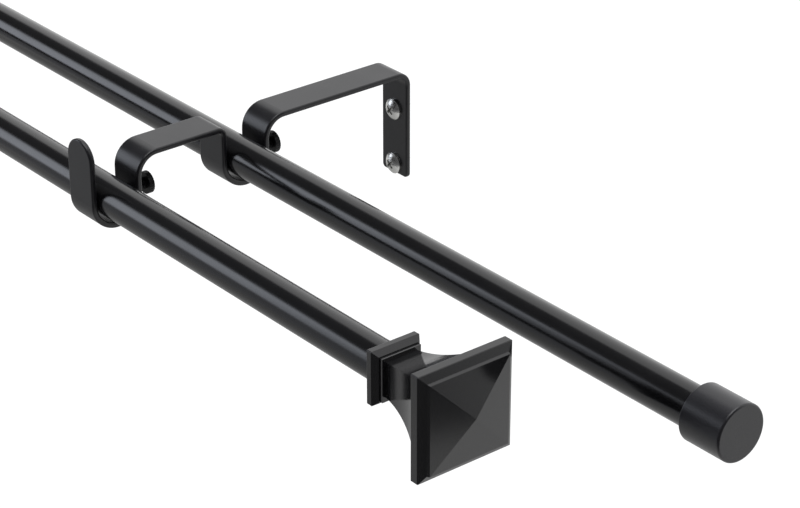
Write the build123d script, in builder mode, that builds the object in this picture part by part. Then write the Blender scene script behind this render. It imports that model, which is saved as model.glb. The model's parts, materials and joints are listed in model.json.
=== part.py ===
# Extendable double curtain rod on two strip brackets, with square stepped finials
# on the front rod and round caps on the back rod.
#
# Millimetres. +X runs along the rods to the right end, +Y into the wall, +Z up.
# The origin is on the wall plane, at the centre of the four wall screws.

from build123d import *
import os

os.makedirs("parts", exist_ok=True)

# Rods: closed, a rod is longer than its travel by the overlap that it keeps when drawn out
tube_d = 15.9
tube_wall = 0.8
inner_tube_d = 13.0
inner_tube_wall = 0.8
travel = 508.0
kept_overlap = 203.0
wall_to_back_rod = 88.9
rod_spacing = 63.5
back_rod_drop = 0.4

# Brackets; a clamped rod stands a little above the centre of its hook's curve
bracket_spacing = 345.2
screw_spacing = 25.8
rod_above_upper_screw = 5.6
strip_w = 16.8
strip_t = 2.4
strip_edge_r = 0.8
hook_inner_r = 9.5
hook_front_gap = 0.15
hook_drop = 1.1
front_arm_rise = 15.9
wall_arm_rise = 14.65
tip_rise = 25.8
front_bend_r = 7.9
rear_bend_r = 1.6
plate_bend_r = 4.0
plate_margin = 4.7
plate_corner_r = 2.0

# Back rod end caps
cap_d = 22.2
cap_length = 19.0
cap_face = 2.5
cap_edge_r = 0.8
cap_mouth_r = 0.4
cap_overhang = 292.6

# Finials, each length measured from the collar's open face
collar_w = 21.8
collar_t = 2.7
collar_bevel_w = 18.5
collar_bevel_end = 5.0
step_w = 17.5
step_end = 6.3
neck_w = 14.2
neck_mid_w = 21.2
flare_w = 37.4
plate_back = 36.7
plate_t = 3.8
plate_w = 42.2
bevel_t = 1.5
bevel_w = 36.2
riser_t = 1.3
pyramid_w = 35.6
pyramid_rise = 3.2
finial_edge_r = 0.45
socket_depth = 4.8
stud_hole_depth = 12.0

# Threaded studs and the plugs in the tube ends
stud_d = 6.0
stud_in_finial = 11.0
stud_in_plug = 13.0
plug_length = 16.0
plug_flange_t = 1.2

# Sliding fittings inside the rods
glide_head = 8.0
glide_stem = 12.0
glide_bore_d = 5.0
mouth_flange_t = 1.5
mouth_sleeve = 12.0

# Thumb screws
thumb_thread_d = 4.0
thumb_drop = 1.8
thumb_head_d = 9.4
thumb_head_t = 3.2
thumb_head_reach = 19.4
thumb_collar_d = 4.9
thumb_collar_t = 1.4
thumb_dome = 0.9
thumb_tip_gap = 0.2
thumb_tip_chamfer = 0.5
knurl_count = 24
knurl_r = 0.22

# Wall screws, with a plain neck where they pass through the plate
wall_thread_d = 4.0
wall_thread_length = 6.4
wall_point = 3.0
wall_point_d = 0.6
wall_neck_d = 3.3
wall_head_d = 9.4
wall_head_t = 2.9
wall_head_rim = 0.9
recess_w = 1.2
recess_span = 4.6
recess_depth = 1.6
recess_taper = 8
recess_turn = 45

# Clearances, each on the radius or between two ends
fit = 0.05
slide_fit = 0.1
bracket_hole_gap = 0.4
tube_end_gap = 0.3
closed_gap = 3.0

# How near a point counts as being on a face
touch = 0.01

# Places worked out from the sizes above
tube_r = tube_d / 2
tube_bore_r = tube_r - tube_wall
inner_r = inner_tube_d / 2
inner_bore_r = inner_r - inner_tube_wall
rod_z = screw_spacing / 2 + rod_above_upper_screw
back_y = -wall_to_back_rod
front_y = back_y - rod_spacing
front_rod = (front_y, rod_z)
back_rod = (back_y, rod_z - back_rod_drop)
bracket_x = bracket_spacing / 2
rod_length = travel + kept_overlap
collar_x = rod_length / 2
cap_x = bracket_x + cap_overhang
hook_offset = hook_inner_r - tube_r - hook_front_gap

# Front rod closed: the outer tube ends just short of the left finial's collar
front_tube_right = collar_x + socket_depth - tube_end_gap
front_tube_left = -collar_x + closed_gap + mouth_flange_t
outer_length = front_tube_right - front_tube_left
inner_left = -collar_x - socket_depth + tube_end_gap + plug_flange_t
inner_length = front_tube_right - plug_length - closed_gap - glide_head - inner_left

# Back rod partly drawn out, so that both of its caps stand out past the front rod
back_tube_right = cap_x - cap_face - tube_end_gap
back_tube_left = back_tube_right - outer_length
back_inner_left = -cap_x + cap_face + tube_end_gap
sleeve_length = cap_length - cap_face - tube_end_gap
back_open_gap = back_tube_left - mouth_flange_t - (-cap_x + cap_length)
back_travel_in = back_open_gap - closed_gap
back_travel_out = travel - back_travel_in


def save(solid, name):
    solid.label = name
    export_step(solid, f"parts/{name}.step")


def tube(x_left, length, rod, radius, bore_radius):
    with BuildPart() as pipe:
        with BuildSketch(Plane.YZ.offset(x_left)):
            with Locations(rod):
                Circle(radius)
                Circle(bore_radius, mode=Mode.SUBTRACT)
        extrude(amount=length)
    return pipe.part


def turned(start, outward, rod, outline):
    # Turns an outline of (distance outward, radius) points about the rod's axis
    origin = (start, *rod)
    with BuildPart() as piece:
        with BuildSketch(Plane(origin=origin, x_dir=(outward, 0, 0), z_dir=(0, 0, 1))):
            with BuildLine():
                Polyline(*outline, close=True)
            make_face()
        revolve(axis=Axis(origin, (outward, 0, 0)))
    return piece.part


def bracket(x_centre):
    # One strip: round tip, front hook, arm, back hook, arm, wall plate
    half_t = strip_t / 2
    hook_r = hook_inner_r + half_t
    up_r = front_bend_r + half_t
    rear_r = rear_bend_r + half_t
    plate_r = plate_bend_r + half_t
    plate_bottom = -screw_spacing / 2 - plate_margin
    front_wall = front_y + hook_offset - hook_r
    back_wall = back_y + hook_offset - hook_r
    front_z = rod_z - hook_drop
    back_z = back_rod[1] - hook_drop
    tip_z = rod_z + tip_rise
    front_arm_z = rod_z + front_arm_rise - half_t
    wall_arm_z = back_rod[1] + wall_arm_rise - half_t

    with BuildPart() as strip:
        with BuildSketch(Plane.YZ.offset(x_centre)):
            with BuildLine() as route:
                Line((front_wall, tip_z), (front_wall, front_z))
                runs = (
                    (front_wall, front_z, front_arm_z, back_wall, rear_r, back_z),
                    (back_wall, back_z, wall_arm_z, -half_t, plate_r, plate_bottom),
                )
                for hook_y, hook_z, arm_z, next_y, down_r, down_z in runs:
                    rear_y = hook_y + 2 * hook_r
                    ThreePointArc((hook_y, hook_z), (hook_y + hook_r, hook_z - hook_r), (rear_y, hook_z))
                    Line((rear_y, hook_z), (rear_y, arm_z - up_r))
                    TangentArc((rear_y, arm_z - up_r), (rear_y + up_r, arm_z), tangent=(0, 1))
                    Line((rear_y + up_r, arm_z), (next_y - down_r, arm_z))
                    TangentArc((next_y - down_r, arm_z), (next_y, arm_z - down_r), tangent=(1, 0))
                    Line((next_y, arm_z - down_r), (next_y, down_z))
            trace(route.line, line_width=strip_t)
        extrude(amount=strip_w / 2, both=True)
        round_centre = (x_centre, front_wall - strip_t, tip_z - strip_w / 2)
        with BuildSketch(Plane(origin=round_centre, x_dir=(1, 0, 0), z_dir=(0, -1, 0))):
            with Locations((0, strip_w / 2)):
                Rectangle(2 * strip_w, strip_w)
            Circle(strip_w / 2, mode=Mode.SUBTRACT)
        extrude(amount=-2 * strip_t, mode=Mode.SUBTRACT)
        plate_corners = strip.edges().filter_by(Axis.Y).group_by(Axis.Z)[0]
        fillet(plate_corners, radius=plate_corner_r)
        side_faces = strip.faces().filter_by(Axis.X)
        fillet(side_faces.edges(), radius=strip_edge_r)
        for rod_y, z in (front_rod, back_rod):
            rear_face = rod_y + hook_offset + hook_inner_r + strip_t
            tapped = (x_centre, rear_face, z - thumb_drop)
            with BuildSketch(Plane(origin=tapped, x_dir=(1, 0, 0), z_dir=(0, -1, 0))):
                Circle(thumb_thread_d / 2 + fit)
            extrude(amount=2 * strip_t, mode=Mode.SUBTRACT)
        with BuildSketch(Plane(origin=(x_centre, 0, 0), x_dir=(1, 0, 0), z_dir=(0, -1, 0))):
            with GridLocations(0, screw_spacing, 1, 2):
                Circle(wall_thread_d / 2 + bracket_hole_gap)
        extrude(amount=strip_t, mode=Mode.SUBTRACT)
    return strip.part


def thumb_screw(x_centre, rod):
    # Knurled domed head towards the wall, thread through the hook, tip at the rod
    start = (x_centre, rod[0], rod[1] - thumb_drop)
    tip_y = tube_r + thumb_tip_gap
    thread_r = thumb_thread_d / 2
    head_r = thumb_head_d / 2
    top_y = thumb_head_reach + thumb_head_t
    rim_y = top_y - thumb_dome
    collar_y = thumb_head_reach - thumb_collar_t
    with BuildPart() as screw:
        with BuildSketch(Plane(origin=start)):
            with BuildLine():
                Polyline(
                    (0, top_y),
                    (0, tip_y),
                    (thread_r - thumb_tip_chamfer, tip_y),
                    (thread_r, tip_y + thumb_tip_chamfer),
                    (thread_r, collar_y),
                    (thumb_collar_d / 2, collar_y),
                    (thumb_collar_d / 2, thumb_head_reach),
                    (head_r, thumb_head_reach),
                    (head_r, rim_y),
                )
                TangentArc((0, top_y), (head_r, rim_y), tangent=(1, 0))
            make_face()
        revolve(axis=Axis(start, (0, 1, 0)))
        rim = Plane(origin=start, x_dir=(1, 0, 0), z_dir=(0, 1, 0)).offset(thumb_head_reach)
        with BuildSketch(rim):
            with PolarLocations(head_r, knurl_count):
                Circle(knurl_r)
        extrude(amount=thumb_head_t, mode=Mode.SUBTRACT)
    return screw.part


def wall_screw(x_centre, z):
    # Pan head on the plate's room side, cross recess, neck in the plate, thread and point in the wall
    start = (x_centre, 0, z)
    head_y = -strip_t - wall_head_t
    rim_y = -strip_t - wall_head_rim
    neck_r = wall_neck_d / 2
    thread_r = wall_thread_d / 2
    head_r = wall_head_d / 2
    with BuildPart() as screw:
        with BuildSketch(Plane(origin=start)):
            with BuildLine():
                Polyline(
                    (0, head_y),
                    (0, wall_thread_length),
                    (wall_point_d / 2, wall_thread_length),
                    (thread_r, wall_thread_length - wall_point),
                    (thread_r, 0),
                    (neck_r, 0),
                    (neck_r, -strip_t),
                    (head_r, -strip_t),
                    (head_r, rim_y),
                )
                TangentArc((0, head_y), (head_r, rim_y), tangent=(1, 0))
            make_face()
        revolve(axis=Axis(start, (0, 1, 0)))
        with BuildSketch(Plane(origin=(x_centre, head_y, z), x_dir=(1, 0, 0), z_dir=(0, 1, 0))):
            Rectangle(recess_span, recess_w, rotation=recess_turn)
            Rectangle(recess_w, recess_span, rotation=recess_turn)
        extrude(amount=recess_depth, taper=recess_taper, mode=Mode.SUBTRACT)
    return screw.part


def on_rim(edge, width, start, end):
    # True for an edge on the outside of a square block of this width, between two places along the rod
    middle = edge.center()
    reach = max(abs(middle.Y - front_y), abs(middle.Z - rod_z))
    along = abs(middle.X) - collar_x
    return abs(reach - width / 2) < touch and start - touch < along < end + touch


def finial(outward):
    # Square collar, step, flared neck, stepped square plate and low pyramid.
    # Two outlines, one from above and one from the side, meet in mitred corners.
    start = (outward * collar_x, front_y, rod_z)
    plate_front = plate_back + plate_t
    bevel_end = plate_front + bevel_t
    pyramid_base = bevel_end + riser_t
    apex = pyramid_base + pyramid_rise
    neck_mid = (step_end + plate_back) / 2
    with BuildPart() as block:
        for view, mode in (((0, 0, 1), Mode.ADD), ((0, 1, 0), Mode.INTERSECT)):
            with BuildSketch(Plane(origin=start, x_dir=(outward, 0, 0), z_dir=view)):
                with BuildLine():
                    Polyline(
                        (0, 0),
                        (0, collar_w / 2),
                        (collar_t, collar_w / 2),
                        (collar_bevel_end, collar_bevel_w / 2),
                        (collar_bevel_end, step_w / 2),
                        (step_end, step_w / 2),
                        (step_end, neck_w / 2),
                    )
                    ThreePointArc(
                        (step_end, neck_w / 2),
                        (neck_mid, neck_mid_w / 2),
                        (plate_back, flare_w / 2),
                    )
                    Polyline(
                        (plate_back, flare_w / 2),
                        (plate_back, plate_w / 2),
                        (plate_front, plate_w / 2),
                        (bevel_end, bevel_w / 2),
                        (pyramid_base, pyramid_w / 2),
                        (apex, 0),
                    )
                    mirror(about=Plane.XZ)
                make_face()
            extrude(amount=plate_w, both=True, mode=mode)
        plate_rim = block.edges().filter_by(lambda e: on_rim(e, plate_w, plate_back, plate_front))
        fillet(plate_rim, radius=finial_edge_r)
        collar_rim = block.edges().filter_by(lambda e: on_rim(e, collar_w, 0, collar_t))
        fillet(collar_rim, radius=finial_edge_r)
        seat = Plane(origin=start, x_dir=(0, 1, 0), z_dir=(outward, 0, 0))
        stud_depth = socket_depth + stud_hole_depth
        for radius, depth in ((tube_r + slide_fit, socket_depth), (stud_d / 2 + fit, stud_depth)):
            with BuildSketch(seat):
                Circle(radius)
            extrude(amount=depth, mode=Mode.SUBTRACT)
    return block.part


def end_cap(outward):
    # Cup with a rounded outer rim, pushed over the tube end
    seat = Plane(origin=(outward * cap_x, *back_rod), x_dir=(0, 1, 0), z_dir=(-outward, 0, 0))
    with BuildPart() as cup:
        with BuildSketch(seat):
            Circle(cap_d / 2)
        extrude(amount=cap_length)
        fillet(cup.edges().group_by(SortBy.DISTANCE)[-1], radius=cap_edge_r)
        fillet(cup.edges().group_by(SortBy.DISTANCE)[0], radius=cap_mouth_r)
        with BuildSketch(seat.offset(cap_face)):
            Circle(tube_r + fit)
        extrude(amount=cap_length, mode=Mode.SUBTRACT)
    return cup.part


# Tubes
save(tube(front_tube_left, outer_length, front_rod, tube_r, tube_bore_r), "front_outer_tube")
save(tube(inner_left, inner_length, front_rod, inner_r, inner_bore_r), "front_inner_tube")
save(tube(back_tube_left, outer_length, back_rod, tube_r, tube_bore_r), "back_outer_tube")
save(tube(back_inner_left, inner_length, back_rod, inner_r, inner_bore_r), "back_inner_tube")

# Mouth rings, pushed into the open ends of the outer tubes
mouth_outline = (
    (-mouth_flange_t, inner_r + slide_fit),
    (-mouth_flange_t, tube_r),
    (0, tube_r),
    (0, tube_bore_r - fit),
    (mouth_sleeve, tube_bore_r - fit),
    (mouth_sleeve, inner_r + slide_fit),
)
save(turned(front_tube_left, 1, front_rod, mouth_outline), "front_mouth_ring")
save(turned(back_tube_left, 1, back_rod, mouth_outline), "back_mouth_ring")

# Glide plugs, which steady the inner tubes inside the outer ones
glide_outline = (
    (-glide_stem, glide_bore_d / 2),
    (-glide_stem, inner_bore_r - fit),
    (0, inner_bore_r - fit),
    (0, tube_bore_r - slide_fit),
    (glide_head, tube_bore_r - slide_fit),
    (glide_head, glide_bore_d / 2),
)
save(turned(inner_left + inner_length, 1, front_rod, glide_outline), "front_glide_plug")
save(turned(back_inner_left + inner_length, 1, back_rod, glide_outline), "back_glide_plug")

# Threaded plugs in the front rod's ends; the left one has a flange as wide as the outer tube
stud_hole_r = stud_d / 2 + fit
right_plug_outline = (
    (-plug_length, stud_hole_r),
    (-plug_length, tube_bore_r - fit),
    (0, tube_bore_r - fit),
    (0, stud_hole_r),
)
save(turned(front_tube_right, 1, front_rod, right_plug_outline), "right_tube_plug")

left_plug_outline = (
    (-plug_length, stud_hole_r),
    (-plug_length, inner_bore_r - fit),
    (0, inner_bore_r - fit),
    (0, tube_r),
    (plug_flange_t, tube_r),
    (plug_flange_t, stud_hole_r),
)
save(turned(inner_left, -1, front_rod, left_plug_outline), "left_tube_plug")

# Sleeves of the same kind fill the left finial's socket and the left cap round the thin tube
left_socket_length = -collar_x - inner_left
save(tube(inner_left, left_socket_length, front_rod, tube_r, inner_r + fit), "left_finial_sleeve")
save(tube(back_inner_left, sleeve_length, back_rod, tube_r, inner_r + fit), "left_cap_sleeve")

# Finials, the studs that hold them, and the back rod's end caps
stud_outline = (
    (-stud_in_plug, 0),
    (-stud_in_plug, stud_d / 2),
    (stud_in_finial, stud_d / 2),
    (stud_in_finial, 0),
)
for side, outward in (("right", 1), ("left", -1)):
    save(finial(outward), f"{side}_finial")
    stud_place = outward * (collar_x + socket_depth)
    save(turned(stud_place, outward, front_rod, stud_outline), f"{side}_finial_stud")
    save(end_cap(outward), f"{side}_end_cap")

# Brackets with their screws
for side, x_centre in (("right", bracket_x), ("left", -bracket_x)):
    save(bracket(x_centre), f"{side}_bracket")
    save(thumb_screw(x_centre, front_rod), f"{side}_front_thumb_screw")
    save(thumb_screw(x_centre, back_rod), f"{side}_back_thumb_screw")
    save(wall_screw(x_centre, screw_spacing / 2), f"{side}_upper_wall_screw")
    save(wall_screw(x_centre, -screw_spacing / 2), f"{side}_lower_wall_screw")

print("front rod y, z", front_rod, "back rod y, z", back_rod)
print("closed gap", closed_gap, "back travel in", back_travel_in, "out", back_travel_out)
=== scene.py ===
"""Looks for the extendable double curtain rod: finishes, floor, light and camera.

Everything is in metres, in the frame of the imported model: +X along the rods to the
right end, +Y into the wall, +Z up.
"""

import json
import math

import bpy
from mathutils import Matrix, Vector

MM = 0.001
WHITE = (1, 1, 1, 1)

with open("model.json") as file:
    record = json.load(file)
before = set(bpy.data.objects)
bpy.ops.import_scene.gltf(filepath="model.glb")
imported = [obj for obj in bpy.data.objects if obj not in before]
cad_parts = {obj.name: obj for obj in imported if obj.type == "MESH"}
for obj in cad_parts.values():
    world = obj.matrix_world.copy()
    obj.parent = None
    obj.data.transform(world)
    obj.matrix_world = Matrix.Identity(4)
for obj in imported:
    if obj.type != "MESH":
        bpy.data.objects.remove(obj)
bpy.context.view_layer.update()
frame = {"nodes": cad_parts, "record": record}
scene = bpy.context.scene

# Camera, at the photograph's viewing angle
AZIMUTH = math.radians(50.86)
ELEVATION = math.radians(27.12)
CAMERA_PLACE = (982.1 * MM, -658.0 * MM, 475.6 * MM)
CAMERA_LENS = 118.1
SENSOR_WIDTH = 36.0
CLIP_START = 0.01
CLIP_END = 50.0

# Base colours of the finishes, linear
BLACK_PAINT = (0.004, 0.004, 0.0045, 1)
BLACK_STRIP = (0.011, 0.011, 0.0125, 1)
BLACK_RESIN = (0.011, 0.011, 0.0116, 1)
BLACK_CAP = (0.014, 0.014, 0.0165, 1)
BLACK_FITTING = (0.02, 0.02, 0.02, 1)
BLACK_OXIDE = (0.004, 0.004, 0.005, 1)
ZINC = (0.62, 0.62, 0.6, 1)

# How far each kind of finish varies over its surface. LIFT is how many times lighter its colour
# gets, ROUGH the shares of its roughness from low to high, and PATCHES the scale of its broad
# patches as a share of its grain
PAINT_LIFT = 1.35
PAINT_ROUGH = (0.92, 1.1)
PAINT_PATCHES = 0.06
MOULDED_LIFT = 1.3
MOULDED_ROUGH = (0.9, 1.12)
MOULDED_PATCHES = 0.03
ZINC_LIFT = 1.2
ZINC_ROUGH = (0.7, 1.4)
ZINC_GRAIN = 900.0
ZINC_DEPTH = 0.02 * MM

# Noise rarely leaves this range, so this much of it is spread over a finish's own range
NOISE_RANGE = (0.3, 0.7)
COATING_IOR = 1.5

# Faces that meet at more than this keep a sharp edge
SHARP_ANGLE = math.radians(28)

# Floor: it ends a little in front of the object and past its right end, with that corner cut off
FLOOR_HEIGHT = -0.24
FLOOR_X = (-1.9, 0.8)
FLOOR_Y = (-0.5, 1.5)
FLOOR_CUT = 0.46
FLOOR_PAINT = (0.8, 0.8, 0.8, 1)
FLOOR_ROUGHNESS = 0.9

# To the camera the floor is this bright, with this share of its lit look, which holds the shadow
FLOOR_WHITE = 1.15
FLOOR_SHADOW_SHARE = 0.2

# Painted shadow in reflections: dim near this point, plain white from the farther distance on
FLOOR_PAINTED_SHADOW_CENTRE = (-0.15, -0.2, FLOOR_HEIGHT)
FLOOR_PAINTED_SHADOW_REACH = (0.25, 0.7)
FLOOR_PAINTED_SHADOW_LEVEL = 0.48

# Studio round the object. Azimuth is in degrees from -Y towards +X, and the other angles are in
# degrees too. Each panel fades out over its soft angle, half of it on either side of its edge
DARK_ROOM = (0.13, 0.13, 0.135)
PANELS = (
    # white sweep behind the object
    {
        "azimuth": 190.5,
        "half_width": 64.5,
        "elevation": 5,
        "half_height": 55,
        "soft": 9,
        "light": (1.05, 1.05, 1.05),
    },
    # softbox in front, to the left
    {
        "azimuth": -55,
        "half_width": 11,
        "elevation": 14,
        "half_height": 13,
        "soft": 8,
        "light": (2.7, 2.85, 3.15),
    },
    # dim board below the softbox
    {
        "azimuth": -50,
        "half_width": 22,
        "elevation": -13,
        "half_height": 14,
        "soft": 6,
        "light": (0.36, 0.37, 0.4),
    },
    # lamp overhead
    {
        "azimuth": 0,
        "half_width": 180,
        "elevation": 80,
        "half_height": 17,
        "soft": 10,
        "light": (3.1, 3.1, 3.2),
    },
)


def add_node(tree, kind, inputs=None, **settings):
    """A new node: each input is either joined to another node's output or set to a value."""
    node = tree.nodes.new(kind)
    for key, value in settings.items():
        setattr(node, key, value)
    for key, value in (inputs or {}).items():
        if isinstance(value, bpy.types.NodeSocket):
            tree.links.new(value, node.inputs[key])
        else:
            node.inputs[key].default_value = value
    return node


class Nodes:
    """A new material, with a short way to add to its shader."""

    def __init__(self, name):
        self.material = bpy.data.materials.new(name)
        self.material.use_nodes = True
        self.tree = self.material.node_tree
        self.shader = self.tree.nodes["Principled BSDF"]

    def add(self, kind, inputs=None, **settings):
        return add_node(self.tree, kind, inputs, **settings)

    def place(self):
        return self.add("ShaderNodeTexCoord").outputs["Object"]

    def noise(self, scale, detail, roughness=0.5):
        inputs = {"Vector": self.place(), "Scale": scale, "Detail": detail, "Roughness": roughness}
        return self.add("ShaderNodeTexNoise", inputs).outputs["Fac"]

    def spread(self, value, low, high, over=NOISE_RANGE):
        """Low to high, as the value goes from one end of over to the other."""
        start, end = over
        inputs = {"Value": value, "From Min": start, "From Max": end, "To Min": low, "To Max": high}
        return self.add("ShaderNodeMapRange", inputs).outputs["Result"]

    def mix(self, factor, first, second):
        inputs = {0: factor, 1: first, 2: second}
        return self.add("ShaderNodeMixShader", inputs).outputs[0]

    def glow(self, strength):
        inputs = {"Color": WHITE, "Strength": strength}
        return self.add("ShaderNodeEmission", inputs).outputs[0]

    def colour(self, value, colour, lift):
        """The base colour, made lighter by up to lift where the value is high."""
        light = tuple(c * lift for c in colour[:3]) + (1,)
        inputs = {"Factor": value, "A": colour, "B": light}
        tint = self.add("ShaderNodeMix", inputs, data_type="RGBA").outputs["Result"]
        self.link(tint, "Base Color")

    def gloss(self, value, rough, shares):
        """The roughness, between two shares of rough."""
        low, high = shares
        self.link(self.spread(value, rough * low, rough * high), "Roughness")

    def bump(self, value, depth):
        """Fine relief, up to depth high."""
        inputs = {"Height": value, "Distance": depth, "Strength": 1.0}
        self.link(self.add("ShaderNodeBump", inputs).outputs["Normal"], "Normal")

    def link(self, output, socket):
        self.tree.links.new(output, self.shader.inputs[socket])

    def set(self, **values):
        for key, value in values.items():
            self.shader.inputs[key.replace("_", " ")].default_value = value


def powder_coat(name, colour, rough, grain, depth, level=0.5):
    """Baked paint: an even colour, faint orange peel and slightly uneven gloss."""
    n = Nodes(name)
    peel = n.noise(grain, detail=3.0)
    patches = n.noise(grain * PAINT_PATCHES, detail=3.0)
    n.colour(patches, colour, PAINT_LIFT)
    n.gloss(patches, rough, PAINT_ROUGH)
    n.bump(peel, depth)
    n.set(IOR=COATING_IOR, Specular_IOR_Level=level)
    return n.material


def moulded(name, colour, rough, grain, depth):
    """Moulded plastic or resin: fine even texture in the gloss and the surface."""
    n = Nodes(name)
    fine = n.noise(grain, detail=4.0, roughness=0.6)
    broad = n.noise(grain * MOULDED_PATCHES, detail=2.0)
    n.colour(broad, colour, MOULDED_LIFT)
    n.gloss(fine, rough, MOULDED_ROUGH)
    n.bump(fine, depth)
    n.set(IOR=COATING_IOR)
    return n.material


def bright_zinc(name, colour, rough):
    """Bright zinc plate: metal with a faint haze in its colour, gloss and surface."""
    n = Nodes(name)
    haze = n.noise(ZINC_GRAIN, detail=4.0)
    n.colour(haze, colour, ZINC_LIFT)
    n.gloss(haze, rough, ZINC_ROUGH)
    n.bump(haze, ZINC_DEPTH)
    n.set(Metallic=1.0)
    return n.material


def finish_nodes():
    """Each CAD node takes the finish of its slot in the record."""
    finishes = {
        "rod_paint": powder_coat(
            "rod_paint", BLACK_PAINT, rough=0.18, grain=1500.0, depth=0.006 * MM
        ),
        "bracket_paint": powder_coat(
            "bracket_paint", BLACK_STRIP, rough=0.3, grain=1300.0, depth=0.01 * MM, level=0.42
        ),
        "finial_resin": moulded(
            "finial_resin", BLACK_RESIN, rough=0.1, grain=2200.0, depth=0.004 * MM
        ),
        "cap_plastic": moulded(
            "cap_plastic", BLACK_CAP, rough=0.3, grain=2600.0, depth=0.02 * MM
        ),
        "fitting_plastic": moulded(
            "fitting_plastic", BLACK_FITTING, rough=0.45, grain=2000.0, depth=0.01 * MM
        ),
        "screw_black": powder_coat(
            "screw_black", BLACK_OXIDE, rough=0.4, grain=2500.0, depth=0.01 * MM, level=0.25
        ),
        "screw_zinc": bright_zinc("screw_zinc", ZINC, rough=0.3),
        "stud_zinc": bright_zinc("stud_zinc", ZINC, rough=0.35),
    }
    for part in frame["record"]["subparts"]:
        solid = frame["nodes"][part["node"]]
        solid.data.materials.clear()
        solid.data.materials.append(finishes[part["material_slot"]])
        for face in solid.data.polygons:
            face.use_smooth = True
        solid.data.set_sharp_from_angle(angle=SHARP_ANGLE)


def floor():
    """A pale floor: white with a faint shadow to the camera; in reflections, a painted shadow below
    the object.
    """
    left, right = FLOOR_X
    front, back = FLOOR_Y
    outline = (
        (left, front),
        (right - FLOOR_CUT, front),
        (right, front + FLOOR_CUT),
        (right, back),
        (left, back),
    )
    corners = [(x, y, FLOOR_HEIGHT) for x, y in outline]
    mesh = bpy.data.meshes.new("floor")
    mesh.from_pydata(corners, [], [tuple(range(len(corners)))])
    sheet = bpy.data.objects.new("floor", mesh)
    scene.collection.objects.link(sheet)
    n = Nodes("floor")
    n.set(Base_Color=FLOOR_PAINT, Roughness=FLOOR_ROUGHNESS)
    lit = n.shader.outputs[0]
    rays = n.add("ShaderNodeLightPath").outputs
    # Painted shadow: in reflections the floor's glow dims towards a point below the object
    ends = {0: n.place(), 1: FLOOR_PAINTED_SHADOW_CENTRE}
    distance_to_painted_shadow = n.add("ShaderNodeVectorMath", ends, operation="DISTANCE").outputs["Value"]
    reflected_glow_with_painted_shadow = n.glow(n.spread(distance_to_painted_shadow, FLOOR_PAINTED_SHADOW_LEVEL, 1.0, over=FLOOR_PAINTED_SHADOW_REACH))
    either = {0: rays["Is Glossy Ray"], 1: rays["Is Transmission Ray"]}
    glossy = n.add("ShaderNodeMath", either, operation="MAXIMUM").outputs[0]
    seen = n.mix(FLOOR_SHADOW_SHARE, n.glow(FLOOR_WHITE), lit)
    other = n.mix(glossy, lit, reflected_glow_with_painted_shadow)
    shown = n.mix(rays["Is Camera Ray"], other, seen)
    n.tree.links.new(shown, n.tree.nodes["Material Output"].inputs["Surface"])
    mesh.materials.append(n.material)


def studio():
    """The world: white to the camera, and a dark room with soft panels for everything else."""
    world = bpy.data.worlds.new("studio")
    scene.world = world
    world.use_nodes = True
    tree = world.node_tree
    tree.nodes.clear()

    def add(kind, inputs=None, output=0, **settings):
        return add_node(tree, kind, inputs, **settings).outputs[output]

    def dot(first, second):
        ends = {0: first, 1: second}
        return add("ShaderNodeVectorMath", ends, output="Value", operation="DOT_PRODUCT")

    def calculate(operation, *values):
        return add("ShaderNodeMath", dict(enumerate(values)), operation=operation)

    def window(angle, half, soft):
        """1 in the panel's middle, falling to 0 over soft degrees round half degrees."""
        reach = {
            "Value": angle,
            "From Min": math.radians(half + soft / 2),
            "From Max": math.radians(half - soft / 2),
        }
        return add("ShaderNodeMapRange", reach, interpolation_type="SMOOTHSTEP")

    direction = add("ShaderNodeTexCoord", output="Generated")
    height = add("ShaderNodeSeparateXYZ", {0: direction}, output="Z")
    elevation = calculate("ARCSINE", height)
    light = DARK_ROOM
    for panel in PANELS:
        turn = math.radians(panel["azimuth"])
        ahead = dot(direction, (math.sin(turn), -math.cos(turn), 0))
        aside = dot(direction, (math.cos(turn), math.sin(turn), 0))
        bearing = calculate("ABSOLUTE", calculate("ARCTAN2", aside, ahead))
        rise = calculate("SUBTRACT", elevation, math.radians(panel["elevation"]))
        across = window(bearing, panel["half_width"], panel["soft"])
        up = window(calculate("ABSOLUTE", rise), panel["half_height"], panel["soft"])
        shine = {0: panel["light"], "Scale": calculate("MULTIPLY", across, up)}
        glow = add("ShaderNodeVectorMath", shine, operation="SCALE")
        light = add("ShaderNodeVectorMath", {0: light, 1: glow}, operation="ADD")
    camera_ray = add("ShaderNodeLightPath", output="Is Camera Ray")
    room = add("ShaderNodeBackground", {"Color": light, "Strength": 1.0})
    white = add("ShaderNodeBackground", {"Color": WHITE, "Strength": 1.0})
    mix = add("ShaderNodeMixShader", {0: camera_ray, 1: room, 2: white})
    add_node(tree, "ShaderNodeOutputWorld", {"Surface": mix})


def camera():
    """The photograph's view: azimuth and elevation, with no roll or shift."""
    data = bpy.data.cameras.new("camera")
    data.lens = CAMERA_LENS
    data.sensor_width = SENSOR_WIDTH
    data.clip_start = CLIP_START
    data.clip_end = CLIP_END
    eye = bpy.data.objects.new("camera", data)
    scene.collection.objects.link(eye)
    back = Vector((
        math.sin(AZIMUTH) * math.cos(ELEVATION),
        -math.cos(AZIMUTH) * math.cos(ELEVATION),
        math.sin(ELEVATION),
    ))
    right = Vector((math.cos(AZIMUTH), math.sin(AZIMUTH), 0.0))
    up = back.cross(right)
    turn = Matrix((right, up, back)).transposed().to_4x4()
    eye.matrix_world = Matrix.Translation(CAMERA_PLACE) @ turn
    scene.camera = eye


camera()
studio()
floor()
finish_nodes()
scene.view_settings.view_transform = "Standard"
